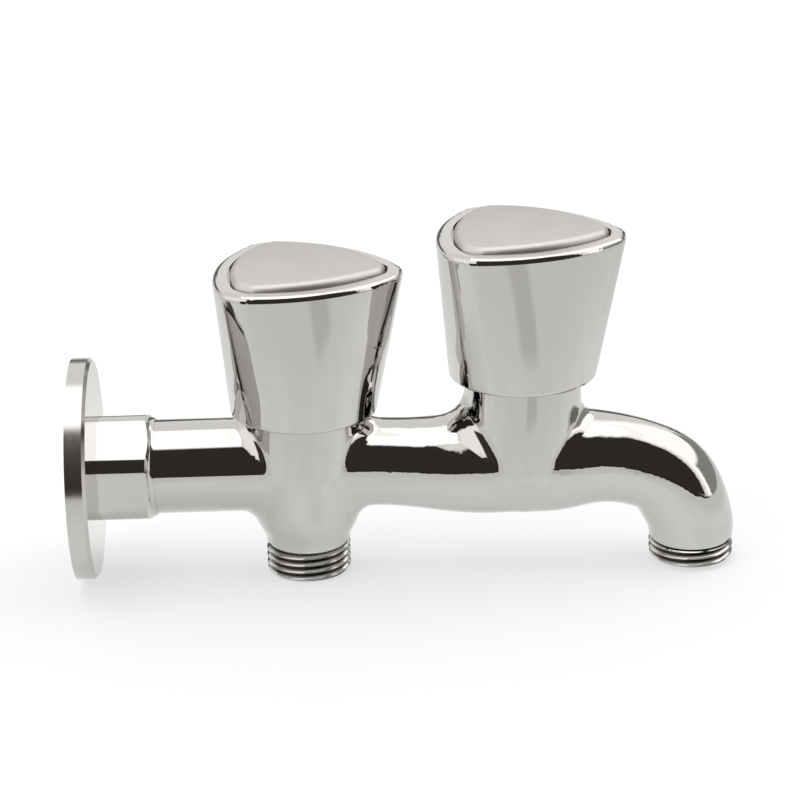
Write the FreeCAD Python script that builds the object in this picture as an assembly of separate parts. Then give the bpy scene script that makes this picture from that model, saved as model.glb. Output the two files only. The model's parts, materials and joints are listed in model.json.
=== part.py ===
import FreeCAD, Part
import math
import os
from FreeCAD import Vector

# Wall-mounted two-way tap: a cast body with one inlet and two outlets, each outlet opened by a
# quarter-turn ceramic-disc valve under a three-cornered knob, and a loose wall flange that slides
# along the inlet tube.
# Millimetres, +Z up. The origin is on the inlet's axis in the plane of the wall, +X points out of
# the wall towards the spout.

# Threads, all of the half-inch pipe size
thread_radius = 10.478
thread_lead_in = 1.0
thread_relief_depth = 0.7
thread_relief_width = 1.2
inlet_thread_length = 15.0
outlet_thread_length = 7.2
spout_thread_length = 4.6

# Places of the two valves and of the spout's end along the body
valve_1_x = 56.7
valve_spacing = 53.7
spout_reach = 41.8
valve_2_x = valve_1_x + valve_spacing
spout_x = valve_2_x + spout_reach
knob_1_bottom_z = 13.9
knob_2_bottom_z = 21.7
outlet_end_z = -28.0
valve_2_bulge_bottom_z = -13.9
spout_end_z = -27.3

# Body
tube_1_radius = 11.6
neck_rise = 3.5
valve_1_foot_radius = 12.3
passage_radius = 7.2
crossing_radius = 6.6
spout_straight = 6.0
inlet_bore_radius = 7.0
outlet_bore_radius = 7.6
port_radius = 4.8
chamber_radius = 11.4
chamber_depth = 14.0
seat_floor = 3.0
valve_1_blend = 5.0
valve_2_blend = 8.0
trunk_inset = 0.9
spout_blend = 4.0
crossing_angle = 12.0

# Wall flange
flange_radius = 27.25
flange_thickness = 4.94
flange_wall = 1.7
flange_edge_bevel = 0.8
flange_lip = 0.4
flange_neck_across_flats = 25.5
flange_neck_corner_radius = 5.5
flange_neck_turn = 20.8
flange_neck_end = 16.5
flange_nose_end = 20.0
flange_fit = 0.1

# Headwork, heights counted from the plane of its knob's lower edge
hex_across_flats = 22.0
hex_height = 5.0
barrel_radius = 8.0
barrel_top = 12.0
thread_fit = 0.08
seat_depth = 19.5
cage_radius = 9.2
cage_wall = 0.9
cage_gap_to_seat = 0.6
window_width = 10.0
window_height = 4.0
undercut_height = 2.0
undercut_radius = 9.45
neck_thread_length = 9.0

# Spindle
spindle_radius = 4.95
spindle_fit = 0.05
drive_flange_radius = 6.6
drive_flange_height = 1.5
stop_radius = 8.0
stop_lug_angle = 80.0
stop_lug_start = 140.0
turn_angle = 90.0
stop_play_angle = 0.6
tongue_width = 4.0
tongue_length = 12.0
tongue_depth = 1.3
broach_teeth = 20
broach_tip_radius = 4.0
broach_root_radius = 3.6
broach_bottom = 13.6
broach_top = 23.0
glide_washer_height = 0.8
circlip_height = 1.0
circlip_radius = 6.3
circlip_gap_angle = 70.0
circlip_seat_radius = 4.2

# Seals, round in section unless said otherwise
spindle_oring_section = 0.88
spindle_oring_heights = (1.0, 5.0)
headwork_oring_section = 0.85
seal_height = 2.2
seal_inner_radius = 5.4

# Ceramic discs
disc_height = 3.0
disc_fit = 0.1
disc_port_angle = 78.0
disc_port_inner_radius = 2.0
disc_port_outer_radius = 6.6
disc_key_width = 3.0

# Knob
knob_height = 36.2
knob_bottom_radius = 18.0
knob_overhang = 3.7
knob_corner_reach = 25.1
knob_side_reach = 20.7
knob_facet_top = 6.6
knob_facet_bottom = 6.2
knob_facet_curve = 30.0
knob_corner_rounding = 4.0
knob_turn = -8.5
knob_wall = 2.0
knob_roof = 3.0
knob_edge_radius = 1.4
knob_foot_edge_radius = 1.3
boss_radius = 9.2
boss_bottom = 13.4
web_height = 2.0
screw_well_radius = 4.6
insert_radius = 7.0
insert_flat = 6.0
insert_fit = 0.05
cap_inset = 3.7
cap_groove = 0.7
cap_recess = 1.8
cap_height = 3.8
cap_edge_radius = 1.9
cap_crown_radius = 260.0
cap_wall = 1.5

# Knob screw
screw_radius = 2.0
screw_hole_radius = 2.2
screw_fit = 0.03
screw_length = 10.0
screw_head_radius = 3.6
screw_head_height = 2.4
screw_lead = 1.5
cap_plug_depth = 2.5

touch = 0.02
through = 1.0
full_turn = 360.0
half_turn = full_turn / 2
third_turn = full_turn / 3
sixth_turn = full_turn / 6
UP = Vector(0, 0, 1)
OUT = Vector(1, 0, 0)

neck_radius = knob_bottom_radius - knob_overhang

# Heights inside a valve, worked out from the seat upwards
seal_top = seal_height - seat_depth
moving_disc_bottom = seal_top + disc_height
moving_disc_top = moving_disc_bottom + disc_height
drive_flange_bottom = moving_disc_top + window_height
ceiling = drive_flange_bottom + drive_flange_height + glide_washer_height
cage_bottom = cage_gap_to_seat - seat_depth
cage_inner_radius = cage_radius - cage_wall
spindle_bore_radius = spindle_radius + spindle_fit
web_bottom = broach_top + 0.5
insert_top = web_bottom
screw_bottom = web_bottom + web_height - screw_length
recess_floor = knob_height - cap_recess


def upright(radius, low, high, x=0.0):
    """A vertical cylinder from one height to another."""
    return Part.makeCylinder(radius, high - low, Vector(x, 0, low), UP)


def level(radius, start, end):
    """A cylinder along the inlet's axis."""
    return Part.makeCylinder(radius, end - start, Vector(start, 0, 0), OUT)


def ring(inner, outer, low, high):
    return upright(outer, low, high).cut(upright(inner, low - through, high + through))


def box(size_x, size_y, low, high):
    """A box centred on the vertical axis."""
    return Part.makeBox(size_x, size_y, high - low, Vector(-size_x / 2, -size_y / 2, low))


def sector(inner, outer, low, high, start, angle):
    """A piece of a ring between two angles, in degrees about the vertical axis."""
    corner = Vector(inner, 0, low)
    points = [corner, Vector(outer, 0, low), Vector(outer, 0, high), Vector(inner, 0, high), corner]
    piece = Part.Face(Part.makePolygon(points)).revolve(Vector(0, 0, 0), UP, angle)
    piece.rotate(Vector(0, 0, 0), UP, start)
    return piece


def turned(points, axis=UP):
    """The solid of a closed profile turned about the vertical or the inlet's axis."""
    wire = Part.makePolygon(points + [points[0]])
    return Part.Face(wire).revolve(Vector(0, 0, 0), axis, full_turn)


def moved(shape, x, z):
    placed = shape.copy()
    placed.translate(Vector(x, 0, z))
    return placed


def export(shape, name):
    solids = shape.Solids
    if len(solids) == 1:
        shape = solids[0]
    if not shape.isValid():
        print("not valid:", name)
    shape.exportStep("parts/" + name + ".step")
    print(name, len(solids), round(shape.Volume, 1))


def round_section(x, z, slope, radius):
    """A circle of four arcs across a run in the body's middle plane, at its slope in degrees."""
    centre = Vector(x, 0, z)
    side = Vector(0, radius, 0)
    tilt = math.radians(slope)
    rise = Vector(-math.sin(tilt), 0, math.cos(tilt)) * radius

    def at(angle):
        turn = math.radians(angle)
        return centre + side * math.cos(turn) + rise * math.sin(turn)

    arcs = [Part.Arc(at(a), at(a + 45), at(a + 90)).toShape() for a in (0, 90, 180, 270)]
    return Part.Wire(arcs)


def run(sections):
    """A smooth pipe through round sections."""
    return Part.makeLoft([round_section(*section) for section in sections], True, False)


def shoulder(end_z, length):
    """The height where a thread and its relief groove end and the smooth body starts."""
    return end_z + length + thread_relief_width


def thread_end(x, end_z, length):
    """The lower end of an outlet: thread cylinder with a lead-in, and its relief groove."""
    groove_low = end_z + length
    groove_high = shoulder(end_z, length)
    core = thread_radius - thread_relief_depth
    profile = [
        Vector(0, 0, end_z),
        Vector(thread_radius - thread_lead_in, 0, end_z),
        Vector(thread_radius, 0, end_z + thread_lead_in),
        Vector(thread_radius, 0, groove_low),
        Vector(core, 0, groove_low + thread_relief_depth / 2),
        Vector(core, 0, groove_high - thread_relief_depth / 2),
        Vector(thread_radius, 0, groove_high),
        Vector(0, 0, groove_high),
    ]
    return moved(turned(profile), x, 0)


def outlet_column():
    """The upright column of valve 1, from its neck down to the first outlet's thread."""
    top = knob_1_bottom_z + neck_rise
    thread_top = shoulder(outlet_end_z, outlet_thread_length)
    points = [
        Vector(neck_radius, 0, 0),
        Vector(neck_radius - 0.4, 0, -4.5),
        Vector(valve_1_foot_radius + 1.0, 0, -10.0),
        Vector(valve_1_foot_radius, 0, -15.0),
        Vector(thread_radius, 0, thread_top),
    ]
    curve = Part.BSplineCurve()
    curve.interpolate(Points=points, InitialTangent=-UP, FinalTangent=-UP)
    bottom = Vector(0, 0, thread_top)
    upper = Vector(0, 0, top)
    corner = Vector(neck_radius, 0, top)
    edges = [
        Part.makeLine(upper, corner),
        Part.makeLine(corner, points[0]),
        curve.toShape(),
        Part.makeLine(points[-1], bottom),
        Part.makeLine(bottom, upper),
    ]
    column = Part.Face(Part.Wire(edges)).revolve(Vector(0, 0, 0), UP, full_turn)
    return moved(column, valve_1_x, 0)


def trunk():
    """The cast run from valve 1 under valve 2 and round into the down-turned spout."""
    widest = neck_radius - trunk_inset
    sections = [
        (valve_1_x + 2, 0.0, 0, 10.8),
        (valve_1_x + 18, -0.2, -1, 10.9),
        (valve_2_x - 21, -1.0, -3, 11.8),
        (valve_2_x - 9, -0.8, -2, widest - 0.3),
        (valve_2_x + 2, -0.5, 1, widest),
        (valve_2_x + 13, -0.5, 2, widest - 1.0),
        (valve_2_x + 20, -0.7, -6, 11.4),
        (spout_x - 14.2, -2.2, -16, 10.9),
        (spout_x - 7.3, -5.2, -38, 10.9),
        (spout_x - 2.5, -11.5, -63, 11.0),
        (spout_x - 0.3, -18.0, -83, 10.7),
        (spout_x, shoulder(spout_end_z, spout_thread_length), -90, thread_radius),
    ]
    return run(sections)


def round_bottomed_column():
    """The upright column of valve 2, whose rounded bottom shows as the bulge under the trunk."""
    top = knob_2_bottom_z + neck_rise
    low = valve_2_bulge_bottom_z
    start = low + neck_radius
    points = [
        Vector(neck_radius, 0, start),
        Vector(neck_radius * math.cos(math.radians(40)), 0, start - neck_radius * math.sin(math.radians(40))),
        Vector(0, 0, low),
    ]
    edges = [
        Part.makeLine(Vector(0, 0, top), Vector(neck_radius, 0, top)),
        Part.makeLine(Vector(neck_radius, 0, top), points[0]),
        Part.Arc(*points).toShape(),
        Part.makeLine(points[-1], Vector(0, 0, top)),
    ]
    column = Part.Face(Part.Wire(edges)).revolve(Vector(0, 0, 0), UP, full_turn)
    return moved(column, valve_2_x, 0)


def is_crossing(body, edge):
    """Whether an edge is one where two rounded forms cross at an angle worth blending."""
    faces = body.ancestorsOfType(edge, Part.Face)
    if len(faces) != 2 or any(isinstance(face.Surface, Part.Plane) for face in faces):
        return False
    middle = edge.valueAt((edge.FirstParameter + edge.LastParameter) / 2)
    normals = [face.normalAt(*face.Surface.parameter(middle)) for face in faces]
    return math.degrees(normals[0].getAngle(normals[1])) > crossing_angle


def blended(forms, radius, low_x, high_x):
    """The forms with a hollow blend along each crossing whose middle lies between two places.

    A blend runs on round a column where its crossings join, and then none is left for the next.
    """
    crossings = [
        edge for edge in forms.Edges
        if low_x < edge.BoundBox.Center.x < high_x and is_crossing(forms, edge)
    ]
    return forms.makeFillet(radius, crossings) if crossings else forms


def smooth_forms():
    """The casting's outer forms without its threaded ends, blended where they cross."""
    tube = level(tube_1_radius, inlet_thread_length + thread_relief_width, valve_1_x)
    forms = tube.multiFuse([outlet_column(), trunk(), round_bottomed_column()])
    between_valves = (valve_1_x + valve_2_x) / 2
    forms = blended(forms, valve_1_blend, 0, between_valves)
    forms = blended(forms, valve_2_blend, between_valves, valve_2_x)
    return blended(forms, spout_blend, valve_2_x, spout_x)


def inlet_end():
    """The inlet's thread cylinder with its lead-in and relief groove, along the inlet's axis."""
    core = thread_radius - thread_relief_depth
    groove_end = inlet_thread_length + thread_relief_width
    profile = [
        Vector(-thread_lead_in, 0, 0),
        Vector(-thread_lead_in, 0, thread_radius - thread_lead_in),
        Vector(0, 0, thread_radius),
        Vector(inlet_thread_length, 0, thread_radius),
        Vector(inlet_thread_length, 0, core),
        Vector(groove_end + through, 0, core),
        Vector(groove_end + through, 0, 0),
    ]
    return turned(profile, OUT)


def chamber(x, knob_z, floor_depth):
    """The hollow of one valve: threaded neck, ring groove, chamber and the port in its seat."""
    seat = knob_z - seat_depth
    ceiling_z = seat + chamber_depth
    top = knob_z + neck_rise
    groove = undercut_radius + 2 * (headwork_oring_section + touch) + touch
    return [
        upright(chamber_radius, seat, ceiling_z, x),
        upright(thread_radius, ceiling_z, top + through, x),
        upright(groove, top - undercut_height + touch, top + through, x),
        upright(port_radius, seat - floor_depth, seat, x),
    ]


def crossing_way():
    """The passage from the first chamber down under the seat of the second valve."""
    start = valve_1_x + math.sqrt(chamber_radius ** 2 - crossing_radius ** 2)
    return run([
        (start, 0.0, 0, crossing_radius),
        (valve_1_x + 20, -0.4, -2, crossing_radius),
        (valve_2_x - 20, -2.6, -12, 6.0),
        (valve_2_x - 11, -5.2, -8, 5.0),
        (valve_2_x + 4, -6.0, 0, 4.9),
    ])


def spout_way():
    """The passage from the second chamber, high beside its seat, round into the spout."""
    bend_end = spout_end_z + spout_straight
    bend = run([
        (valve_2_x + 6, 8.8, -8, 4.6),
        (valve_2_x + 13, 6.0, -38, 5.4),
        (valve_2_x + 20, 0.6, -30, 6.6),
        (spout_x - 14.2, -3.0, -18, passage_radius),
        (spout_x - 7.4, -6.6, -42, passage_radius),
        (spout_x - 2.7, -12.4, -64, passage_radius),
        (spout_x - 0.4, -17.0, -82, passage_radius),
        (spout_x, bend_end, -90, passage_radius),
    ])
    return [bend, upright(passage_radius, spout_end_z - through, bend_end, spout_x)]


def water_ways():
    """The hollows of the casting: inlet bore, chambers, seat ports and outlet passages."""
    seat_1 = knob_1_bottom_z - seat_depth
    bore_end = valve_1_x - math.sqrt(chamber_radius ** 2 - inlet_bore_radius ** 2)
    hollows = [
        level(inlet_bore_radius, -2 * thread_lead_in, bore_end),
        upright(outlet_bore_radius, outlet_end_z - through, seat_1 - seat_floor, valve_1_x),
        crossing_way(),
    ]
    hollows += chamber(valve_1_x, knob_1_bottom_z, seat_floor + through)
    hollows += chamber(valve_2_x, knob_2_bottom_z, seat_floor + crossing_radius / 2)
    return hollows + spout_way()


def tap_body():
    """The casting with its threaded ends and the water ways cut out."""
    ends = [
        inlet_end(),
        thread_end(valve_1_x, outlet_end_z, outlet_thread_length),
        thread_end(spout_x, spout_end_z, spout_thread_length),
    ]
    solid = smooth_forms().multiFuse(ends)
    return solid.cut(water_ways()).removeSplitter()


def six_sided_neck():
    """The flange's neck before its nose is rounded: six flats with well-rounded corners."""
    core = flange_neck_across_flats / 2 - flange_neck_corner_radius
    reach = core / math.cos(math.pi / 6)

    def at(radius, bearing):
        angle = math.radians(bearing)
        return Vector(0, -radius * math.cos(angle), radius * math.sin(angle))

    edges = []
    half_corner = sixth_turn / 2
    for i in range(6):
        bearing = flange_neck_turn + i * sixth_turn
        centre, following = at(reach, bearing), at(reach, bearing + sixth_turn)
        arc = [centre + at(flange_neck_corner_radius, bearing + k * half_corner) for k in (-1, 0, 1)]
        edges.append(Part.Arc(*arc).toShape())
        edges.append(Part.makeLine(arc[2], following + at(flange_neck_corner_radius, bearing + half_corner)))
    return Part.Face(Part.Wire(edges)).extrude(OUT * flange_nose_end)


def nose():
    """The space that the flange's neck is kept in: its end curves down to the inlet tube."""
    bore = tube_1_radius + flange_fit
    root = flange_thickness - flange_wall / 2
    start = Vector(flange_neck_end, 0, flange_neck_across_flats / 2 / math.cos(math.pi / 6))
    end = Vector(flange_nose_end, 0, bore + flange_lip)
    curve = Part.BSplineCurve()
    curve.interpolate(Points=[start, end], InitialTangent=OUT, FinalTangent=OUT)
    corners = [end, Vector(end.x, 0, bore), Vector(root, 0, bore), Vector(root, 0, start.z), start]
    outline = Part.Wire([curve.toShape(), *Part.makePolygon(corners).Edges])
    return Part.Face(outline).revolve(Vector(0, 0, 0), OUT, full_turn)


def wall_flange():
    """The pressed flange with its neck, which slides along the inlet tube to cover the wall's hole."""
    bore = tube_1_radius + flange_fit
    collar = flange_neck_across_flats / 2 + flange_wall
    profile = [
        Vector(0, 0, bore),
        Vector(0, 0, collar),
        Vector(flange_thickness - flange_wall, 0, collar),
        Vector(flange_thickness - flange_wall, 0, flange_radius - flange_wall),
        Vector(0, 0, flange_radius - flange_wall),
        Vector(0, 0, flange_radius),
        Vector(flange_thickness - flange_edge_bevel, 0, flange_radius),
        Vector(flange_thickness, 0, flange_radius - flange_edge_bevel),
        Vector(flange_thickness, 0, bore),
    ]
    return turned(profile, OUT).fuse(six_sided_neck().common(nose())).removeSplitter()


def hexagon(across_flats, low, high):
    corner = across_flats / 2 / math.cos(math.pi / 6)
    bearings = [math.radians(i * sixth_turn) for i in range(7)]
    points = [Vector(corner * math.cos(a), corner * math.sin(a), low) for a in bearings]
    return Part.Face(Part.makePolygon(points)).extrude(UP * (high - low))


def headwork_body():
    """The brass valve insert: hexagon, barrel, threaded part and the cage that holds the discs."""
    hexagon_top = neck_rise + hex_height
    chamfer = Part.makeCone(
        hex_across_flats / 2 + hex_height + 0.5, hex_across_flats / 2 + 0.5, hex_height,
        Vector(0, 0, neck_rise), UP,
    )
    solid = hexagon(hex_across_flats, neck_rise, hexagon_top).common(chamfer)
    solid = solid.fuse(upright(barrel_radius, neck_rise, barrel_top))
    thread_low = neck_rise - neck_thread_length
    solid = solid.fuse(upright(undercut_radius, neck_rise - undercut_height, neck_rise))
    solid = solid.fuse(upright(thread_radius - thread_fit, thread_low, neck_rise - undercut_height))
    solid = solid.fuse(upright(cage_radius, cage_bottom, thread_low))
    solid = solid.cut(upright(spindle_bore_radius, ceiling - through, barrel_top + through))
    solid = solid.cut(upright(cage_inner_radius, cage_bottom - through, ceiling))
    windows = box(4 * cage_radius, window_width, moving_disc_top, drive_flange_bottom)
    solid = solid.cut(windows)
    slots = box(disc_key_width + disc_fit, 4 * cage_radius, cage_bottom - through, moving_disc_bottom)
    solid = solid.cut(slots)
    return solid.fuse(turn_stop()).removeSplitter()


def turn_stop():
    """The stop inside the cage that the spindle's lug meets at both ends of its turn."""
    free = turn_angle + stop_lug_angle + 2 * stop_play_angle
    start = stop_lug_start + stop_lug_angle + turn_angle + stop_play_angle
    inner = drive_flange_radius + disc_fit
    return sector(inner, cage_inner_radius + cage_wall / 2, drive_flange_bottom, ceiling, start, full_turn - free)


def broach(tip, root, low, high):
    """A prism with pointed teeth all round, the shape of the spindle's head and of its socket."""
    count = 2 * broach_teeth
    points = []
    for i in range(count + 1):
        radius = tip if i % 2 == 0 else root
        angle = 2 * math.pi * i / count
        points.append(Vector(radius * math.cos(angle), radius * math.sin(angle), low))
    return Part.Face(Part.makePolygon(points)).extrude(UP * (high - low))


def oring_seat():
    """The radius on which a spindle ring lies: it just clears the barrel's bore."""
    return spindle_bore_radius - touch - spindle_oring_section


def spindle():
    """The brass spindle: broached head, two ring grooves, turning flange with its lug, and tongue."""
    groove_floor = oring_seat() - spindle_oring_section - touch
    drive_top = ceiling - glide_washer_height
    solid = upright(spindle_radius, drive_top, broach_bottom)
    for height in spindle_oring_heights:
        low = height - spindle_oring_section - touch
        high = height + spindle_oring_section + touch
        solid = solid.cut(ring(groove_floor, 2 * spindle_radius, low, high))
    clip_low = barrel_top
    clip_high = clip_low + circlip_height + 2 * touch
    solid = solid.cut(ring(circlip_seat_radius, 2 * spindle_radius, clip_low, clip_high))
    solid = solid.fuse(broach(broach_tip_radius, broach_root_radius, broach_bottom, broach_top))
    solid = solid.fuse(upright(drive_flange_radius, drive_flange_bottom, drive_top))
    lug = sector(0, stop_radius, drive_flange_bottom, drive_top, stop_lug_start, stop_lug_angle)
    solid = solid.fuse(lug)
    tongue = box(tongue_length, tongue_width, moving_disc_top - tongue_depth, drive_flange_bottom)
    solid = solid.fuse(tongue)
    hole = upright(screw_radius + screw_fit, screw_bottom - screw_lead, broach_top + through)
    return solid.cut(hole).removeSplitter()


def spindle_orings():
    seat = oring_seat()
    tori = [
        Part.makeTorus(seat, spindle_oring_section, Vector(0, 0, height), UP)
        for height in spindle_oring_heights
    ]
    return Part.makeCompound(tori)


def circlip():
    """The open clip that holds the spindle up in the barrel."""
    low = barrel_top + touch
    clip = ring(circlip_seat_radius + touch, circlip_radius, low, low + circlip_height)
    opening = sector(0, 2 * circlip_radius, low - through, low + 2 * through, 0, circlip_gap_angle)
    return clip.cut(opening)


def glide_washer():
    low = ceiling - glide_washer_height
    return ring(spindle_radius + disc_fit, drive_flange_radius - disc_fit, low + touch, ceiling - touch)


def disc_ports(low, high):
    """The two opposite openings of a ceramic disc."""
    first = 90 - disc_port_angle / 2
    return [
        sector(disc_port_inner_radius, disc_port_outer_radius, low - through, high + through, start,
               disc_port_angle)
        for start in (first, first + half_turn)
    ]


def moving_disc():
    """The disc that turns with the spindle, with the slot for its tongue. It is shut at rest."""
    solid = upright(cage_inner_radius - disc_fit, moving_disc_bottom + touch, moving_disc_top)
    solid = solid.cut(disc_ports(moving_disc_bottom, moving_disc_top))
    slot_floor = moving_disc_top - tongue_depth - touch
    slot = box(tongue_length + disc_fit, tongue_width + disc_fit, slot_floor, moving_disc_top + through)
    return solid.cut(slot)


def fixed_disc():
    """The disc that the cage holds by two keys. Its openings lie across the moving disc's."""
    solid = upright(cage_inner_radius - disc_fit, seal_top, moving_disc_bottom)
    keys = box(disc_key_width, 2 * cage_radius, seal_top, moving_disc_bottom)
    solid = solid.fuse(keys.common(upright(cage_radius, seal_top, moving_disc_bottom)))
    ports = disc_ports(seal_top, moving_disc_bottom)
    for port in ports:
        port.rotate(Vector(0, 0, 0), UP, turn_angle)
    return solid.cut(ports).removeSplitter()


def seat_seal():
    return ring(seal_inner_radius, cage_inner_radius - disc_fit, -seat_depth, seal_top)


def headwork_oring():
    centre = undercut_radius + headwork_oring_section + touch
    height = neck_rise - headwork_oring_section - touch
    return Part.makeTorus(centre, headwork_oring_section, Vector(0, 0, height), UP)


def meeting(first, first_reach, second, second_reach):
    """The point at given distances from two centres, to the right of the way between them."""
    way = second - first
    along = (first_reach ** 2 - second_reach ** 2 + way.Length ** 2) / (2 * way.Length)
    across = math.sqrt(first_reach ** 2 - along ** 2)
    unit = way * (1 / way.Length)
    return first + unit * along + Vector(unit.y, -unit.x, 0) * across


def corner_rounding(corner, side, facet):
    """Start, middle and end of the rounding between a facet and the side that follows it.

    The facet faces +X, and the middle of the side lies a sixth of a turn round from it.
    """
    edge = Vector(corner, facet / 2, 0)
    facet_centre = Vector(corner - math.sqrt(knob_facet_curve ** 2 - edge.y ** 2), 0, 0)
    to_side = Vector(math.cos(math.radians(sixth_turn)), math.sin(math.radians(sixth_turn)), 0)
    shift = (edge.Length ** 2 - side ** 2) / (2 * (edge.dot(to_side) - side))
    side_centre = to_side * shift
    side_curve = side - shift
    inward = knob_corner_rounding
    centre = meeting(side_centre, side_curve - inward, facet_centre, knob_facet_curve - inward)
    on_facet = (centre - facet_centre) * (inward / (knob_facet_curve - inward))
    on_side = (centre - side_centre) * (inward / (side_curve - inward))
    between = on_facet + on_side
    return centre + on_facet, centre + between * (inward / between.Length), centre + on_side


def knob_outline(height, corner, side, facet):
    """A closed outline with three arched sides and a facet on each of its three rounded corners.

    With corner and side reach alike it is a circle, apart from the facets.
    """
    rounding = [
        (point.Length, math.degrees(math.atan2(point.y, point.x)))
        for point in corner_rounding(corner, side, facet)
    ]
    facet_middle = corner + knob_facet_curve - math.sqrt(knob_facet_curve ** 2 - (facet / 2) ** 2)

    def at(radius, angle):
        bearing = math.radians(knob_turn + angle)
        return Vector(radius * math.cos(bearing), radius * math.sin(bearing), height)

    edges = []
    for i in range(3):
        start = i * third_turn
        before = [at(reach, start - angle) for reach, angle in rounding]
        after = [at(reach, start + angle) for reach, angle in rounding]
        following = at(rounding[2][0], start + third_turn - rounding[2][1])
        arcs = [
            before[::-1],
            (before[0], at(facet_middle, start), after[0]),
            after,
            (after[2], at(side, start + sixth_turn), following),
        ]
        edges += [Part.Arc(*arc).toShape() for arc in arcs]
    return Part.Wire(edges)


def knob_outside():
    """The flared outside of the knob, with rounded upper and lower edges."""
    foot = math.sqrt(knob_bottom_radius ** 2 - (knob_facet_bottom / 2) ** 2)
    sections = [
        knob_outline(0, foot, knob_bottom_radius, knob_facet_bottom),
        knob_outline(knob_height, knob_corner_reach, knob_side_reach, knob_facet_top),
    ]
    solid = Part.makeLoft(sections, True, True)
    rim = [edge for edge in solid.Edges if edge.BoundBox.ZMin > knob_height - touch]
    solid = solid.makeFillet(knob_edge_radius, rim)
    foot_edges = [edge for edge in solid.Edges if edge.BoundBox.ZMax < touch]
    return solid.makeFillet(knob_foot_edge_radius, foot_edges)


def knob_hollow():
    """The hollow under the knob, an even wall inside its outside."""
    top = recess_floor - knob_roof
    share = top / knob_height
    foot_radius = knob_bottom_radius - knob_wall
    facet = knob_facet_bottom * 0.8
    foot = math.sqrt(foot_radius ** 2 - (facet / 2) ** 2)
    corner = foot + (knob_corner_reach - knob_bottom_radius) * share
    side = foot_radius + (knob_side_reach - knob_bottom_radius) * share
    sections = [
        knob_outline(0, foot, foot_radius, facet),
        knob_outline(top, corner, side, facet),
    ]
    hollow = Part.makeLoft(sections, True, True)
    mouth = upright(foot_radius, -through, touch)
    return hollow.fuse(mouth)


def recess_outline(height, inset):
    facet = knob_facet_top * 0.75
    return knob_outline(height, knob_corner_reach - inset, knob_side_reach - inset, facet)


def insert_shape(radius, flat, low, high):
    """A round plug with two flats, so that it can't turn in its socket."""
    return upright(radius, low, high).common(box(3 * radius, 2 * flat, low, high))


def knob():
    """The hollow three-cornered knob with its central boss, screw well and recess for the cap."""
    solid = knob_outside().cut(knob_hollow())
    roof_low = recess_floor - knob_roof
    boss = upright(boss_radius, boss_bottom, roof_low + knob_roof / 2)
    solid = solid.fuse(boss)
    socket = insert_shape(insert_radius + insert_fit, insert_flat + insert_fit, boss_bottom - through,
                          web_bottom)
    solid = solid.cut(socket)
    solid = solid.cut(upright(screw_hole_radius, web_bottom - through, web_bottom + web_height + through))
    solid = solid.cut(upright(screw_well_radius, web_bottom + web_height, knob_height + through))
    recess = Part.Face(recess_outline(recess_floor, cap_inset)).extrude(UP * 2 * cap_recess)
    return solid.cut(recess)


def knob_cap():
    """The crowned, round-edged cap that stands proud of the knob's top and hides its screw."""
    low = recess_floor + touch
    top = recess_floor + cap_height
    inset = cap_inset + cap_groove
    plate = Part.Face(recess_outline(low, inset)).extrude(UP * cap_height)
    crown = Part.makeSphere(cap_crown_radius, Vector(0, 0, top - cap_crown_radius), -OUT)
    pillow = plate.common(crown)
    rim = [edge for edge in pillow.Edges if edge.BoundBox.ZMin > low + touch]
    pillow = pillow.makeFillet(cap_edge_radius, rim)
    hollow_top = top - 2 * cap_wall
    hollow = Part.Face(recess_outline(low - through, inset + cap_wall))
    pillow = pillow.cut(hollow.extrude(UP * (hollow_top - low + through)))
    plug = ring(screw_well_radius - cap_wall, screw_well_radius - insert_fit,
                recess_floor - cap_plug_depth, hollow_top + touch)
    return pillow.fuse(plug).removeSplitter()


def broach_insert():
    """The plastic bush between the knob's boss and the spindle's teeth."""
    solid = insert_shape(insert_radius, insert_flat, broach_bottom + touch, insert_top - touch)
    teeth = broach(broach_tip_radius + insert_fit, broach_root_radius + insert_fit,
                   broach_bottom - through, insert_top + through)
    return solid.cut(teeth)


def knob_screw():
    """The screw that holds the knob down on the spindle."""
    seat = web_bottom + web_height + touch
    head = upright(screw_head_radius, seat, seat + screw_head_height)
    dome = Part.makeSphere(2.2 * screw_head_radius,
                           Vector(0, 0, seat + screw_head_height - 2.2 * screw_head_radius))
    shank = upright(screw_radius, screw_bottom, seat)
    return head.common(dome).fuse(shank).removeSplitter()


VALVE_PIECES = {
    "headwork_body": headwork_body,
    "headwork_oring": headwork_oring,
    "spindle": spindle,
    "spindle_orings": spindle_orings,
    "circlip": circlip,
    "glide_washer": glide_washer,
    "moving_disc": moving_disc,
    "fixed_disc": fixed_disc,
    "seat_seal": seat_seal,
    "broach_insert": broach_insert,
    "knob": knob,
    "knob_cap": knob_cap,
    "knob_screw": knob_screw,
}


def main():
    os.makedirs("parts", exist_ok=True)
    export(tap_body(), "tap_body")
    export(wall_flange(), "wall_flange")
    places = ((1, valve_1_x, knob_1_bottom_z), (2, valve_2_x, knob_2_bottom_z))
    for name, make in VALVE_PIECES.items():
        piece = make()
        for number, x, z in places:
            export(moved(piece, x, z), name + "_" + str(number))


if __name__ == "__main__":
    main()
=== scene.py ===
import json
import math

import bpy
from mathutils import Matrix, Vector


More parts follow.
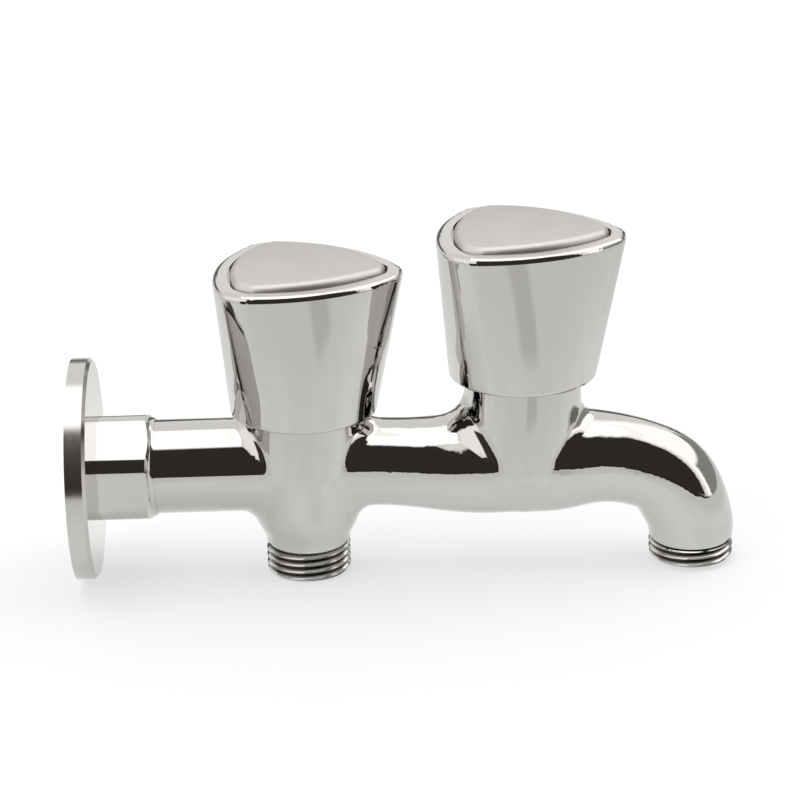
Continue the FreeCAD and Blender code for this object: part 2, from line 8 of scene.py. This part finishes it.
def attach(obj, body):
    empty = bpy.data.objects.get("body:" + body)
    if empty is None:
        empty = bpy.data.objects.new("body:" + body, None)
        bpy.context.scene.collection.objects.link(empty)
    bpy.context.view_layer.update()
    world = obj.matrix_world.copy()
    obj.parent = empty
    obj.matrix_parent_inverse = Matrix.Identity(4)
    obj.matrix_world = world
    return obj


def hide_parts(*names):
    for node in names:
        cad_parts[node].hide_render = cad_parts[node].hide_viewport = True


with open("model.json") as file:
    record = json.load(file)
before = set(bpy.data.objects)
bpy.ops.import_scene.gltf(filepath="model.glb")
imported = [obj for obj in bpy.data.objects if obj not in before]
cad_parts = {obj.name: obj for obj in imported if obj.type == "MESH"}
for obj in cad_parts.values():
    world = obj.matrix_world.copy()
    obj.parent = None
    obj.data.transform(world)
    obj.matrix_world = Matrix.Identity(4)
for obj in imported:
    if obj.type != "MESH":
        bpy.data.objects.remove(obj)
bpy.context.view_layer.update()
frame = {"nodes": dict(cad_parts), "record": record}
nodes = frame["nodes"]

# Sizes in metres, in the frame of the CAD model: the inlet's axis is the x axis and the wall's plane is x = 0
MM = 0.001
HAIR = 0.01 * MM

# Half-inch pipe threads
CREST_RADIUS = 10.478 * MM
ROOT_RADIUS = 9.316 * MM
PITCH = 1.814 * MM
LEAD_IN = 1.0 * MM
RUN_OUT = 0.35 * MM
THREAD_STEPS = 96
# One ridge: how far along the pitch and how far out from the root each point lies
THREAD_FORM = ((-0.5, 0.0), (-0.43, 0.04), (-0.36, 0.17), (-0.14, 0.83), (-0.07, 0.96), (0.0, 1.0),
               (0.07, 0.96), (0.14, 0.83), (0.36, 0.17), (0.43, 0.04), (0.5, 0.0))
# Each thread: a point on its axis, the axis, and where the thread starts and ends along it
THREADS = {
    "outlet_thread": (Vector((56.7 * MM, 0, 0)), Vector((0, 0, 1)), (-28.0 * MM, -20.8 * MM)),
    "spout_thread": (Vector((152.2 * MM, 0, 0)), Vector((0, 0, 1)), (-27.3 * MM, -22.7 * MM)),
    "inlet_thread": (Vector((0, 0, 0)), Vector((1, 0, 0)), (-1.0 * MM, 15.0 * MM)),
}

FLANGE_FACE = 4.94 * MM
FLOOR_Z = -28.05 * MM

CHROME = (0.60, 0.59, 0.575)
KNOB_CHROME = (0.61, 0.60, 0.59)
# Painted shade: the dark colour painted into the threads' roots
THREAD_ROOT_SHADE = (0.07, 0.064, 0.058)

# The photograph's camera, found from the tap's own edges: its place in millimetres, and its angles in degrees
CAMERA_PLACE = (70.132, -613.969, 244.247)
CAMERA_AZIMUTH = -0.948
CAMERA_ELEVATION = 20.42
CAMERA_ROLL = -1.28
CAMERA_LENS = 120.34
SENSOR_WIDTH = 36.0


# Shader sums

class Wire:
    """A socket in a node tree that adds and multiplies like a number."""

    def __init__(self, sheet, socket):
        self.sheet = sheet
        self.socket = socket

    def maths(self, operation, *values):
        return self.sheet.add("Math", {"operation": operation}, dict(enumerate(values)))

    def __add__(self, other):
        return self.maths("ADD", self, other)

    def __radd__(self, other):
        return self.maths("ADD", other, self)

    def __sub__(self, other):
        return self.maths("SUBTRACT", self, other)

    def __rsub__(self, other):
        return self.maths("SUBTRACT", other, self)

    def __mul__(self, other):
        return self.maths("MULTIPLY", self, other)

    def or_larger(self, other):
        return self.maths("MAXIMUM", self, other)


class Sheet:
    """The node tree of a material or of the world."""

    def __init__(self, owner):
        self.owner = owner
        owner.use_nodes = True
        self.tree = owner.node_tree

    def add(self, kind, settings=None, values=None, output=0):
        """A new node: its settings are set first, then its sockets get values or links."""
        made = self.tree.nodes.new("ShaderNode" + kind)
        for name, value in (settings or {}).items():
            setattr(made, name, value)
        for name, value in (values or {}).items():
            self.put(made.inputs[name], value)
        return Wire(self, made.outputs[output])

    def put(self, socket, value):
        if isinstance(value, Wire):
            self.tree.links.new(value.socket, socket)
        else:
            socket.default_value = value

    def parts(self, vector):
        """The three numbers that a vector is made of."""
        split = self.tree.nodes.new("ShaderNodeSeparateXYZ")
        self.put(split.inputs[0], vector)
        return [Wire(self, output) for output in split.outputs]

    def length(self, vector):
        return self.add("VectorMath", {"operation": "LENGTH"}, {0: vector}, "Value")

    def between(self, value, low, high, start=0.0, end=1.0):
        """A smooth change from a start to an end while a value goes from low to high."""
        values = {"Value": value, "From Min": low, "From Max": high, "To Min": start, "To Max": end}
        return self.add("MapRange", {"interpolation_type": "SMOOTHSTEP"}, values)

    def band(self, value, low, high, soft):
        """One inside a band of values and nought outside it, with soft edges."""
        rise = self.between(value, low - soft, low + soft)
        fall = self.between(value, high - soft, high + soft, 1.0, 0.0)
        return rise * fall

    def blend(self, factor, first, second):
        settings = {"data_type": "RGBA", "blend_type": "MIX"}
        values = {0: factor, 6: self.colour(first), 7: self.colour(second)}
        return self.add("Mix", settings, values, 2)

    def colour(self, value):
        return value if isinstance(value, Wire) else (*value, 1.0)


class Finish(Sheet):
    """A material with one main shader, patterned on the piece's own coordinates in metres."""

    def __init__(self, name, **constants):
        super().__init__(bpy.data.materials.new(name))
        self.shader = self.tree.nodes["Principled BSDF"]
        for socket, value in constants.items():
            self.shader.inputs[socket.replace("_", " ")].default_value = value
        self.place = self.add("TexCoord", output="Object")
        self.roughness = None

    def around(self, centre=(0, 0, 0), stretch=(1.0, 1.0, 1.0)):
        """The piece's coordinates counted from a point and stretched along the axes."""
        moved = self.add("VectorMath", {"operation": "SUBTRACT"}, {0: self.place, 1: centre})
        return self.add("VectorMath", {"operation": "MULTIPLY"}, {0: moved, 1: stretch})

    def noise(self, size, detail, roughness=0.5, place=None):
        """Cloudy noise from 0 to 1 with features of about a size in metres."""
        values = {"Vector": place or self.place, "Scale": 1.0 / size, "Detail": detail,
                  "Roughness": roughness}
        return self.add("TexNoise", values=values)

    def paint(self, colour, roughness):
        self.put(self.shader.inputs["Base Color"], self.colour(colour))
        self.roughen(roughness)

    def roughen(self, roughness):
        self.roughness = roughness
        self.put(self.shader.inputs["Roughness"], roughness)

    def relief(self, height, depth):
        """Small bumps of a depth in metres. They come last, so this hands back the finish."""
        bump = self.add("Bump", values={"Height": height, "Strength": 1.0, "Distance": depth})
        self.put(self.shader.inputs["Normal"], bump)
        return self


# Finishes

def polished_chrome(name, tint=CHROME):
    """Mirror-bright plate: a faint waviness from polishing, water spots and light wiping marks."""
    finish = Finish(name, Metallic=1.0)
    clouds = finish.noise(18 * MM, 2.0)
    wiping = finish.noise(1.2 * MM, 4.0, 0.6, finish.around(stretch=(0.15, 1.0, 1.0)))
    spots = finish.between(clouds, 0.45, 0.75)
    deep_tint = tuple(value * 0.97 for value in tint)
    finish.paint(finish.blend(clouds, tint, deep_tint), spots * 0.02 + wiping * 0.015 + 0.02)
    return finish.relief(finish.noise(11 * MM, 1.0), 0.008 * MM)


def flange_chrome(name):
    """Polished on the neck, and finely brushed on the disc and its edge."""
    finish = polished_chrome(name)
    from_wall = finish.parts(finish.place)[0]
    on_disc = finish.between(from_wall, FLANGE_FACE - HAIR, FLANGE_FACE + HAIR, 1.0, 0.0)
    brushing = finish.noise(0.3 * MM, 3.0, 0.6, finish.around(stretch=(1.0, 0.1, 0.1)))
    finish.roughen(finish.roughness + on_disc * (brushing * 0.1 + 0.1))
    return finish


def thread_chrome(name, centre, axis):
    """Plate on a thread: bright on the crests, and thin and dull down in the root, which is painted dark as
    shade.
    """
    finish = polished_chrome(name)
    out = finish.length(finish.around(centre, Vector((1, 1, 1)) - axis))
    on_crest = finish.between(out, ROOT_RADIUS + 0.1 * MM, CREST_RADIUS - 0.2 * MM)
    dull = finish.roughness + (1.0 - on_crest) * 0.25 + 0.03
    # Painted shade: the root is darkened where the ridges shade it
    finish.paint(finish.blend(on_crest, THREAD_ROOT_SHADE, CHROME), dull)
    return finish


def satin_chrome(name):
    """The caps' brushed and pearled plate."""
    finish = Finish(name, Metallic=1.0)
    grain = finish.noise(0.18 * MM, 2.0, 0.6)
    clouds = finish.noise(9 * MM, 2.0)
    colour = finish.blend(clouds, (0.60, 0.585, 0.567), (0.64, 0.625, 0.607))
    finish.paint(colour, grain * 0.08 + clouds * 0.05 + 0.42)
    return finish.relief(grain, 0.006 * MM)


def turned_brass(name):
    """Bare brass from the lathe, with rings round the z axis and some stains."""
    finish = Finish(name, Metallic=1.0)
    rings = finish.noise(0.4 * MM, 2.0, 0.6, finish.around(stretch=(0.04, 0.04, 1.0)))
    stain = finish.noise(6 * MM, 4.0)
    colour = finish.blend(stain, (0.72, 0.54, 0.27), (0.62, 0.43, 0.2))
    finish.paint(colour, rings * 0.2 + stain * 0.12 + 0.16)
    return finish.relief(rings, 0.01 * MM)


def rubber(name):
    finish = Finish(name)
    dust = finish.noise(1.5 * MM, 5.0, 0.6)
    finish.paint(finish.blend(dust, (0.018, 0.018, 0.019), (0.036, 0.035, 0.034)), dust * 0.2 + 0.5)
    return finish.relief(finish.noise(0.3 * MM, 2.0), 0.008 * MM)


def ceramic(name):
    finish = Finish(name)
    speck = finish.noise(0.5 * MM, 3.0, 0.7)
    finish.paint(finish.blend(speck, (0.86, 0.85, 0.82), (0.8, 0.785, 0.75)), speck * 0.15 + 0.2)
    return finish.relief(speck, 0.003 * MM)


def white_plastic(name):
    finish = Finish(name)
    cloud = finish.noise(4 * MM, 2.0)
    finish.paint(finish.blend(cloud, (0.84, 0.84, 0.82), (0.78, 0.78, 0.76)), cloud * 0.1 + 0.4)
    return finish.relief(finish.noise(0.4 * MM, 3.0), 0.01 * MM)


def spring_steel(name):
    finish = Finish(name, Metallic=1.0)
    scratches = finish.noise(0.6 * MM, 4.0, 0.7, finish.around(stretch=(0.1, 1.0, 1.0)))
    finish.paint(finish.blend(scratches, (0.56, 0.56, 0.57), (0.44, 0.43, 0.43)), scratches * 0.2 + 0.25)
    return finish.relief(scratches, 0.006 * MM)


def finishes():
    """One material for each of the record's slots."""
    made = {
        "chrome_body": polished_chrome("chrome_body"),
        "chrome_flange": flange_chrome("chrome_flange"),
        "chrome_knob": polished_chrome("chrome_knob", KNOB_CHROME),
        "satin_cap": satin_chrome("satin_cap"),
        "brass": turned_brass("brass"),
        "rubber": rubber("rubber"),
        "ceramic": ceramic("ceramic"),
        "white_plastic": white_plastic("white_plastic"),
        "steel": spring_steel("steel"),
    }
    return {slot: finish.owner for slot, finish in made.items()}


def dress(piece, material):
    piece.data.materials.clear()
    piece.data.materials.append(material)


# Work on meshes

def take_up(piece):
    """Makes a piece the only chosen and active one."""
    for chosen in bpy.context.selected_objects:
        chosen.select_set(False)
    piece.select_set(True)
    bpy.context.view_layer.objects.active = piece


def open_up(piece):
    """Goes into edit mode with all of a piece's mesh selected."""
    take_up(piece)
    bpy.ops.object.mode_set(mode="EDIT")
    bpy.ops.mesh.select_all(action="SELECT")


def close_up():
    bpy.ops.object.mode_set(mode="OBJECT")


def settle(piece):
    """Puts the piece's place and turn into its mesh."""
    take_up(piece)
    bpy.ops.object.transform_apply(location=True, rotation=True, scale=True)


def apply_modifiers(piece):
    take_up(piece)
    for modifier in list(piece.modifiers):
        bpy.ops.object.modifier_apply(modifier=modifier.name)


def merged_copy(node, name):
    """A copy of a node's mesh with its loose triangles joined and its normals kept."""
    piece = nodes[node].copy()
    piece.data = nodes[node].data.copy()
    for key in list(piece.keys()):
        del piece[key]
    piece.name = name
    piece.data.name = name
    piece.parent = None
    bpy.context.scene.collection.objects.link(piece)
    mesh = piece.data
    kept = mesh.attributes.new("kept_normal", "FLOAT_VECTOR", "CORNER")
    kept.data.foreach_set("vector", [value for corner in mesh.corner_normals for value in corner.vector])
    take_up(piece)
    bpy.ops.mesh.customdata_custom_splitnormals_clear()
    open_up(piece)
    bpy.ops.mesh.remove_doubles(threshold=0.001 * MM)
    close_up()
    kept = mesh.attributes["kept_normal"]
    mesh.normals_split_custom_set([corner.vector for corner in kept.data])
    mesh.attributes.remove(mesh.attributes["kept_normal"])
    return piece


def drawn(name, points):
    """A line through points, drawn out from a single vertex."""
    bpy.ops.mesh.primitive_plane_add(size=PITCH)
    piece = bpy.context.active_object
    piece.name = name
    piece.data.name = name
    open_up(piece)
    bpy.ops.mesh.merge(type="CENTER")
    bpy.ops.mesh.select_all(action="SELECT")
    bpy.ops.transform.translate(value=points[0])
    for before, point in zip(points, points[1:]):
        step = Vector(point) - Vector(before)
        bpy.ops.mesh.extrude_region_move(TRANSFORM_OT_translate={"value": step})
    close_up()
    return piece


def wound(piece, rise, rounds):
    """Winds a line round the z axis, rising by a length in each round."""
    screw = piece.modifiers.new("screw", "SCREW")
    screw.axis = "Z"
    screw.angle = 2 * math.pi
    screw.screw_offset = rise
    screw.iterations = rounds
    screw.steps = THREAD_STEPS
    screw.render_steps = THREAD_STEPS
    apply_modifiers(piece)
    open_up(piece)
    bpy.ops.mesh.remove_doubles(threshold=HAIR / 2)
    bpy.ops.mesh.normals_make_consistent(inside=False)
    close_up()
    return piece


def trim(piece, low, high):
    """Cuts a wound thread off square at two heights and closes the cuts."""
    for height, outward in ((low, -1), (high, 1)):
        open_up(piece)
        bpy.ops.mesh.bisect(plane_co=(0, 0, height), plane_no=(0, 0, outward), use_fill=True,
                            clear_outer=True)
        close_up()


def keep_inside(piece, limits):
    """Leaves only what lies inside another piece, which is used up."""
    cut = piece.modifiers.new("cut", "BOOLEAN")
    cut.object = limits
    cut.operation = "INTERSECT"
    cut.solver = "EXACT"
    apply_modifiers(piece)
    bpy.data.objects.remove(limits)


# The casting and its threads

def turn_down(piece, centre, axis, span):
    """Turns a thread's cylinder down to the thread's root, so that the real thread can go round it."""
    low, high = span
    for vertex in piece.data.vertices:
        place = vertex.co - centre
        along = place.dot(axis)
        out = place - axis * along
        if low - HAIR < along < high + HAIR and ROOT_RADIUS < out.length < CREST_RADIUS + HAIR:
            vertex.co = centre + axis * along + out * (ROOT_RADIUS / out.length)


def casting():
    piece = merged_copy("tap_body", "casting")
    for centre, axis, span in THREADS.values():
        turn_down(piece, centre, axis, span)
    return piece


def thread_sleeve(length):
    """The ring that a thread stays inside: a lead-in cone at its free end, a short one at the other."""
    inner = ROOT_RADIUS - 0.7 * MM
    outer = CREST_RADIUS + 5 * HAIR
    points = [(inner, 0, HAIR), (outer - LEAD_IN, 0, HAIR), (outer, 0, LEAD_IN), (outer, 0, length - RUN_OUT),
              (outer - RUN_OUT, 0, length), (inner, 0, length), (inner, 0, HAIR)]
    return wound(drawn("sleeve", points), 0.0, 1)


def thread(name, length):
    """A right-handed pipe thread that rises along z from its free end at nought."""
    rounds = math.ceil(length / PITCH) + 3
    depth = CREST_RADIUS - ROOT_RADIUS
    form = [(ROOT_RADIUS + out * depth, 0, along * PITCH) for along, out in THREAD_FORM]
    piece = wound(drawn(name, form), PITCH, rounds)
    spare = 0.25 * PITCH
    trim(piece, PITCH, PITCH + length + 2 * spare)
    piece.location = (0, 0, -(PITCH + spare))
    settle(piece)
    keep_inside(piece, thread_sleeve(length))
    return piece


def threads():
    """The threads of both outlets and of the inlet, each brought to its place."""
    placed = []
    for name, (centre, axis, (low, high)) in THREADS.items():
        piece = thread(name, high - low)
        piece.rotation_euler = (0, math.pi / 2 * axis.x, 0)
        piece.location = centre + axis * low
        dress(piece, thread_chrome(name, centre, axis).owner)
        settle(piece)
        bpy.ops.object.shade_smooth_by_angle(angle=math.radians(40))
        placed.append(piece)
    return placed


# Studio

def camera():
    """The photograph's camera, for an image of 800 by 800."""
    azimuth, elevation, roll = map(math.radians, (CAMERA_AZIMUTH, CAMERA_ELEVATION, CAMERA_ROLL))
    back = Vector((math.sin(azimuth) * math.cos(elevation), -math.cos(azimuth) * math.cos(elevation),
                   math.sin(elevation)))
    right = (-back).cross(Vector((0, 0, 1))).normalized()
    up = right.cross(-back)
    rolled_right = right * math.cos(roll) + up * math.sin(roll)
    rolled_up = up * math.cos(roll) - right * math.sin(roll)
    data = bpy.data.cameras.new("camera")
    data.lens = CAMERA_LENS
    data.sensor_width = SENSOR_WIDTH
    data.clip_start = 0.01
    data.clip_end = 20.0
    eye = bpy.data.objects.new("camera", data)
    bpy.context.scene.collection.objects.link(eye)
    turn = Matrix((rolled_right, rolled_up, back)).transposed().to_4x4()
    eye.matrix_world = Matrix.Translation(Vector(CAMERA_PLACE) * MM) @ turn
    bpy.context.scene.camera = eye
    bpy.context.scene.view_settings.view_transform = "Standard"


def floor():
    """A plain pale floor just under the tap's lowest edge, which the plate mirrors as a lit patch."""
    bpy.ops.mesh.primitive_plane_add(size=8.0, location=(0.08, 0.0, FLOOR_Z))
    plane = bpy.context.active_object
    plane.name = "floor"
    finish = Finish("floor", Specular_IOR_Level=0.0)
    shade = finish.noise(200 * MM, 2.0)
    finish.paint(finish.blend(shade, (0.41, 0.41, 0.41), (0.43, 0.43, 0.43)), 0.9)
    seen = finish.add("LightPath", output="Is Camera Ray")
    mirrored = finish.add("LightPath", output="Is Glossy Ray")
    distance = finish.length(finish.around((0, 20 * MM, 0), (0.6, 1.0, 1.0)))
    cloudy = finish.between(finish.noise(45 * MM, 1.0), 0.42, 0.56, 0.68, 1.0)
    near = finish.between(distance, 20 * MM, 170 * MM, 1.0, 0.0) * cloudy
    patch = finish.blend(near, (0.36, 0.358, 0.352), (0.62, 0.62, 0.615))
    glow = finish.blend(mirrored, (0, 0, 0), patch)
    glow = finish.blend(seen, glow, (0.57, 0.573, 0.579))
    finish.put(finish.shader.inputs["Emission Color"], glow)
    finish.shader.inputs["Emission Strength"].default_value = 1.0
    dress(plane, finish.owner)


def dark_card():
    """A dark card that lies in front of the tap and shows only in its polished plate.

    It is solid far out, and only a faint strip of it comes near the tap.
    """
    bpy.ops.mesh.primitive_plane_add(size=2.0)
    card = bpy.context.active_object
    card.name = "dark_card"
    corners = ((-8.0, -3.9), (8.0, -8.0), (-0.06, -0.09), (1.0, -0.09))
    for vertex, (x, y) in zip(card.data.vertices, corners):
        vertex.co = (x, y, FLOOR_Z + 1 * MM)
    finish = Finish("dark_card", Specular_IOR_Level=0.0)
    shade = finish.noise(200 * MM, 2.0)
    finish.paint(finish.blend(shade, (0.034, 0.028, 0.023), (0.038, 0.031, 0.026)), 0.9)
    across, depth, _ = finish.parts(finish.place)
    far = finish.between(depth, -240 * MM, -225 * MM, 1.0, 0.0)
    strip_width = finish.band(across + depth * 0.3, 80 * MM, 125 * MM, 8 * MM)
    strip_length = finish.band(depth, -200 * MM, -115 * MM, 8 * MM)
    finish.put(finish.shader.inputs["Alpha"], far.or_larger(strip_width * strip_length * 0.2))
    dress(card, finish.owner)
    card.visible_camera = False
    card.visible_diffuse = False
    card.visible_shadow = False


def studio():
    """White light panels above and beside the tap, a dark room in front, and a white background.

    Directions are in degrees: a bearing is nought towards the camera and 90 past the spout, and a height is
    nought level with the tap and 90 straight above it.
    """
    world = bpy.data.worlds.new("studio")
    bpy.context.scene.world = world
    sheet = Sheet(world)
    background = sheet.tree.nodes["Background"]
    x, y, z = sheet.parts(sheet.add("TexCoord", output="Generated"))
    bearing = x.maths("ARCTAN2", x, 0.0 - y) * (180 / math.pi)
    height = z.maths("ARCSINE", z) * (180 / math.pi)

    def panel(bearings, side_softness, heights, edge_softness):
        """One inside a range of bearings and heights and nought outside it."""
        return sheet.band(bearing, *bearings, side_softness) * sheet.band(height, *heights, edge_softness)

    top = sheet.between(height, 60.0, 66.0)
    spout_side = panel((71.0, 150.0), 6.0, (-5.0, 62.0), 3.0)
    wall_side = panel((-95.0, -20.0), 5.0, (-5.0, 58.0), 4.0)
    room = panel((-17.0, 64.0), 0.8, (-20.0, 61.0), 2.0)
    low_room = panel((-65.0, -12.0), 2.0, (-20.0, 14.0), 0.8)
    dim_behind = sheet.band(height, -5.0, 14.0, 2.0) * (1.0 - sheet.band(bearing, -140.0, 150.0, 6.0))
    dim_low_side = panel((82.0, 150.0), 3.0, (-5.0, 26.0), 3.0)
    level = 1.0 + top * 0.9 + spout_side * 0.7 + wall_side * 0.3
    level = level * (1.0 - dim_behind * 0.85) * (1.0 - dim_low_side * 0.8)
    mirrored = sheet.blend(room.or_larger(low_room), (1.0, 0.985, 0.965), (0.042, 0.037, 0.032))
    seen = sheet.add("LightPath", output="Is Camera Ray")
    sheet.put(background.inputs["Color"], sheet.blend(seen, mirrored, (1.0, 1.0, 1.0)))
    sheet.put(background.inputs["Strength"], level + seen * (1.0 - level))


def build():
    """Dresses the CAD nodes, and puts the casting with real threads in the plain one's place."""
    materials = finishes()
    slots = {part["node"]: part["material_slot"] for part in frame["record"]["subparts"]}
    for name, node in nodes.items():
        dress(node, materials[slots[name]])
    body = casting()
    dress(body, materials["chrome_body"])
    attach(body, "body")
    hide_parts("tap_body")
    for piece in threads():
        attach(piece, "body")


build()
camera()
floor()
dark_card()
studio()
